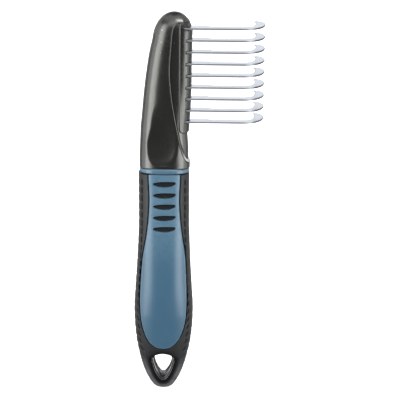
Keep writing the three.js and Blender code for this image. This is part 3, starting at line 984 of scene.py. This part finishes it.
def head_shell(side):
    """The front (-1) or back (1) half; the back one has counterbores for the screws."""
    def field(x, y, z):
        body = both(head_body(x, y, z), 0.05 - side * y, 0.12)
        if side > 0:
            for _, sx, sz, top, radius in screw_places():
                bore = np.hypot(x - sx, z - sz) - radius - 0.3
                body = without(body, both(bore, top - COUNTERBORE - y), 0.25)
        return body
    return field


def shell_painted_glint(x, y, z):
    """A painted glint: the shells' edge is painted bright where it runs out under the slotted bar."""
    edge = 1 - step_up(seam_distance(x, z), 0.2, 0.5)
    return edge * (1 - step_up(above_ring(z), 6.0, 11.5))


SLOT_GAP = 0.2              # air round a blade in its slot
SLOT_MOUTH = 11.2           # past this the slots are open to the front
SLOT_BACK = 5.6             # how far behind the blades' front edge the slots end


def blade_slots(x, y, z):
    """A slot for every blade, open towards the tips and deep enough for the blade's root."""
    nearest = np.min([np.abs(z - height) for height in BLADE_Z], axis=0)
    pocket = both(nearest - BLADE_THICK / 2 - SLOT_GAP, CREASE_X + 0.4 - x)
    mouth = both(pocket, SLOT_MOUTH - x)
    deep = both(pocket, BLADE_FRONT - SLOT_GAP - y)
    return both(either(mouth, deep), y - BLADE_FRONT - SLOT_BACK)


def blade_carrier(x, y, z):
    """The piece that holds the blades: a slotted bar with a sunk strip beside and below it."""
    up = above_ring(z)
    sunk = BAR_SINK + 0.55 * (1 - step_up(up, 3.5, 15.5))
    strip = step_up(-strip_distance(x, z), -0.3, 0.3) * step_up(up, 4.5, 19.5)
    tilt = step_up(up, 22.5, 52.5) * (1 - step_up(x, 8.0, 13.5)) * (1 - strip)
    body = carrier_round(x, y, z) + sunk + STRIP_SINK * strip + BAR_TILT * tilt
    body = both(body, crown_chamfer(x, z) + 0.3, 0.3)
    body = both(body, seam_distance(x, z) + SEAM_GAP / 2, 0.1)
    body = either(body, both(seam_tongue(x, y, z), RING_HIGH + 1.5 - z))
    return without(body, blade_slots(x, y, z), 0.18)


def carrier_painted_light(x, y, z):
    """A painted highlight along the crease; painted shade (below 0) that dulls the bar beside it and
    darkens round its foot.
    """
    line = 0.1 * np.exp(-((x - CREASE_X - 0.2) / 0.24) ** 2)
    bar = 0.3 * step_up(x, CREASE_X + 0.4, CREASE_X + 0.9)
    up = above_ring(z)
    foot = 0.8 * np.exp(-(strip_distance(x, z) / 0.3) ** 2) * (1 - step_up(up, 21.5, 25.5))
    return (line - bar) * step_up(up, 18.5, 21.5) - foot


def build_head():
    """The two shells and the blade carrier, in the same plastic."""
    low = np.array([shell_low[0] - 0.8, -HEAD_DEEP - 0.8, RING_HIGH - 0.5])
    high = np.array([shell_high[0] + 1.5, HEAD_DEEP + 0.8, HEAD_TOP + 0.5])
    for side, node in ((-1, "head_front_shell"), (1, "head_back_shell")):
        half_low, half_high = low.copy(), high.copy()
        inner = half_high if side < 0 else half_low
        inner[1] = 0
        mesh_field("moulded_" + node, node, "head_plastic", head_shell(side), half_low, half_high,
                   SHELL_CELL, shell_painted_glint)
    carrier_low, carrier_high = box_mm("blade_carrier")
    carrier_low[0] = CARRIER_LEFT
    mesh_field("slotted_carrier", "blade_carrier", "head_plastic", blade_carrier, carrier_low - 0.6,
               carrier_high + 0.8, CARRIER_CELL, carrier_painted_light)


# ---------------- blades

SHANK_WIDE = 4.0
ROOT_WIDE = 5.3
ROOT_START, ROOT_END = 24.5, 21.0       # the shank widens to the root between these
PLAIN_EDGE = (0.1, 0.78)    # how wide the slope to the edge is, and the edge's share of the
GROUND_EDGE = (0.5, 0.25)   # blade's thickness


def blade_outline():
    """Points round one blade, from its tail along the front, and the kind of edge at each.

    The first bend's point comes twice, which keeps the straight front shaded flat.
    """
    bend, belly, tip = (10.8, 0), (0, 10.4), (5.2, 16.6)    # back from the reach, behind the front
    crook, shank = (7.4, 4.6), (12.2, SHANK_WIDE)
    shank_y, root_y = BLADE_FRONT + SHANK_WIDE, BLADE_FRONT + ROOT_WIDE

    def place(*hook_points):
        return [(BLADE_REACH - back, BLADE_FRONT + deep) for back, deep in hook_points]

    runs = [
        ([(BLADE_TAIL, BLADE_FRONT)] + place(bend), PLAIN_EDGE),
        (bezier(*place(bend, (5.3, 0), (0.45, 3.3), belly), 20), PLAIN_EDGE),
        (bezier(*place(belly, (0, 13.9), (2.2, 17.2), tip), 14), PLAIN_EDGE),
        (bezier(*place(tip, (4.2, 14.6), (4.0, 8.4), crook), 20), GROUND_EDGE),
        (bezier(*place(crook, (8.6, SHANK_WIDE), (10.2, SHANK_WIDE), shank), 6), PLAIN_EDGE),
        (place(shank), PLAIN_EDGE),
        (bezier((ROOT_START, shank_y), (ROOT_START - 1.5, shank_y),
                (ROOT_END + 1.5, root_y), (ROOT_END, root_y), 8), PLAIN_EDGE),
        ([(ROOT_END, root_y), (BLADE_TAIL, root_y)], PLAIN_EDGE),
    ]
    points = [point for run, _ in runs for point in run]
    edges = [edge for run, edge in runs for _ in run]
    return np.array(points), np.array(edges)


def build_blade(index, height):
    """A flat blade: its two faces stop short of the outline, and slopes join them to its edge."""
    points, edges = blade_outline()
    count = len(points)
    along = np.roll(points, -1, 0) - np.roll(points, 1, 0)
    along /= np.linalg.norm(along, axis=1)[:, None]
    faced = points + np.stack([-along[:, 1], along[:, 0]], 1) * edges[:, :1]
    half = BLADE_THICK / 2
    layers = [
        np.column_stack([faced, np.full(count, height + half)]),
        np.column_stack([points, height + half * edges[:, 1]]),
        np.column_stack([points, height - half * edges[:, 1]]),
        np.column_stack([faced, np.full(count, height - half)]),
    ]
    faces = [tuple(range(count)), tuple(range(4 * count - 1, 3 * count - 1, -1))]
    faces += quads_between(4, count)
    mesh = bpy.data.meshes.new(f"hooked_blade_{index}")
    mesh.from_pydata([tuple(point * MM) for point in np.concatenate(layers)], [], faces)
    mesh.update()
    mesh.validate()
    mesh.shade_smooth()
    mesh.set_sharp_from_angle(angle=math.radians(30))
    settle_mesh(mesh, "blade_steel", f"blade_{index}")


# ---------------- screws

DOME_RADIUS = 5.2           # of the screws' domed heads
SCREW_HEAD = 1.8
SCREW_LONG = 8.0
SCREW_SHANK = 1.4           # the shank's radius
CROSS_HALF = 0.42           # half the width of the cross's arms, their reach and depth
CROSS_REACH = 1.6
CROSS_DEEP = 1.0


def cross_screw(sx, sz, top, radius):
    """A domed head with a cross cut in it, on a plain shank."""
    def field(x, y, z):
        across, up = np.abs(x - sx), np.abs(z - sz)
        off = np.hypot(across, up)
        dome = np.hypot(off, y - top + DOME_RADIUS) - DOME_RADIUS
        head = both(both(off - radius, dome, 0.2), top - SCREW_HEAD - y, 0.1)
        shank = both(off - SCREW_SHANK, top - SCREW_LONG - y, 0.3)
        shank = both(shank, y - top + 1)
        level = both(across - CROSS_HALF, up - CROSS_REACH)
        upright = both(up - CROSS_HALF, across - CROSS_REACH)
        cross = both(either(level, upright), top - CROSS_DEEP - y)
        return without(either(head, shank), cross, 0.1)
    return field


def build_screws():
    for node, sx, sz, top, radius in screw_places():
        low = (sx - radius, top - SCREW_LONG - 0.2, sz - radius)
        high = (sx + radius, top, sz + radius)
        mesh_field("cross_" + node, node, "fastener_steel", cross_screw(sx, sz, top, radius),
                   low, high, SCREW_CELL)


# ---------------- stage

FLOOR_HALF = 3.0            # metres


def build_floor():
    """A pale floor under the tail, left out of the object's reflections."""
    low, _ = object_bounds()
    corners = ((-1, -1), (1, -1), (1, 1), (-1, 1))
    points = [(x * FLOOR_HALF, y * FLOOR_HALF, low.z - 0.0002) for x, y in corners]
    mesh = bpy.data.meshes.new("floor")
    mesh.from_pydata(points, [], [(0, 1, 2, 3)])
    floor = bpy.data.objects.new("floor", mesh)
    bpy.context.scene.collection.objects.link(floor)
    look = Look("pale_floor")
    look.set(Base_Color=(0.9, 0.9, 0.9, 1), Roughness=0.9)
    look.set(Emission_Color=(1, 1, 1, 1), Emission_Strength=0.75)
    mesh.materials.append(look.material)
    floor.visible_glossy = False
    floor.visible_diffuse = False


def band(sky, value, start, end, soft):
    """1 where a value is between start and end, fading over soft on either side."""
    sides = []
    for low, high, first, last in ((start - soft, start, 0, 1), (end, end + soft, 1, 0)):
        node = sky.add("MapRange", Value=value, From_Min=low, From_Max=high, To_Min=first, To_Max=last)
        node.interpolation_type = "SMOOTHSTEP"
        sides.append(node.outputs[0])
    return sky.math("MULTIPLY", *sides)


def sky_level(sky):
    """How bright the sky is, in patches of so many degrees round from the front and up."""
    x, y, z = sky.split(sky.add("TexCoord").outputs["Generated"])
    front = sky.math("MULTIPLY", y, -1)
    around = sky.math("DEGREES", sky.math("ARCTAN2", sky.math("ABSOLUTE", x), front))   # both sides
    signed = sky.math("DEGREES", sky.math("ARCTAN2", x, front))     # above 0 on the blades' side
    raised = sky.math("DEGREES", sky.math("ARCSINE", z))

    level = 0.09
    for strength, angle, turned, tilted in (
        (4.3, around, (33, 54, 8), (-26, 25, 10)),      # the soft boxes either side of the camera
        (1.7, around, (58, 94, 14), (-26, 25, 10)),     # their dimmer outer halves
        (1.0, around, (-40, 110, 20), (48, 75, 8)),     # a wide box overhead
        (13.0, signed, (14, 56, 6), (43, 50, 3)),       # and a small bright one in front of it
        (1.8, around, (-40, 22, 8), (28, 40, 6)),       # another lower down
        (0.6, around, (118, 150, 8), (-50, 0, 12)),     # strips that light the back
        (0.85, around, (112, 200, 20), (4, 40, 8)),     # the pale wall behind, above the table
        (0.7, around, (-10, 200, 5), (-100, -62, 10)),  # the table
    ):
        patch = sky.math("MULTIPLY", band(sky, angle, *turned), band(sky, raised, *tilted))
        level = sky.math("ADD", level, sky.math("MULTIPLY", patch, strength))

    # A dark card on the blades' side takes most of the light away over the soft box's upper part.
    card = sky.math("MULTIPLY", band(sky, signed, 20, 75, 8), band(sky, raised, 7, 35, 4))
    return sky.math("MULTIPLY", level, sky.math("MULTIPLY_ADD", card, -0.84, 1))


def build_world():
    """White for the camera; soft boxes, a pale wall and a table for the object."""
    world = bpy.data.worlds.new("studio")
    world.use_nodes = True
    bpy.context.scene.world = world
    sky = Nodes(world.node_tree)
    sky.nodes.clear()
    light = sky.add("Background", Color=(0.97, 0.985, 1.0, 1), Strength=sky_level(sky))
    white = sky.add("Background", Color=(1, 1, 1, 1))
    seen = sky.add("LightPath").outputs["Is Camera Ray"]
    mix = sky.add("MixShader")
    for socket, output in zip(mix.inputs, (seen, light.outputs[0], white.outputs[0])):
        sky.put(socket, output)
    sky.add("OutputWorld", Surface=mix.outputs[0])


def build_camera():
    """The photograph's view: a long lens, 20 degrees up and slightly to the blades' side."""
    distance, raised, turned = 0.8, math.radians(20), math.radians(2.5)
    aim = Vector((0, 0, HEAD_TOP * MM / 2))
    level = math.cos(raised)
    back = Vector((math.sin(turned) * level, -math.cos(turned) * level, math.sin(raised)))
    data = bpy.data.cameras.new("camera")
    data.lens = 141.8
    data.sensor_width = 36
    data.shift_x = 0.0918
    data.shift_y = 0.0165
    camera = bpy.data.objects.new("camera", data)
    camera.location = aim + back * distance
    camera.rotation_euler = (-back).to_track_quat("-Z", "Y").to_euler()
    bpy.context.scene.collection.objects.link(camera)
    bpy.context.scene.camera = camera


build_grip()
build_ring()
build_head()
for index, height in enumerate(BLADE_Z, 1):
    build_blade(index, height)
build_screws()
for node in ("blade_rod", "tang_pin"):
    frame["nodes"][node].data.materials.clear()
    frame["nodes"][node].data.materials.append(looks["fastener_steel"])
build_floor()
build_world()
build_camera()
bpy.context.scene.view_settings.view_transform = "Standard"
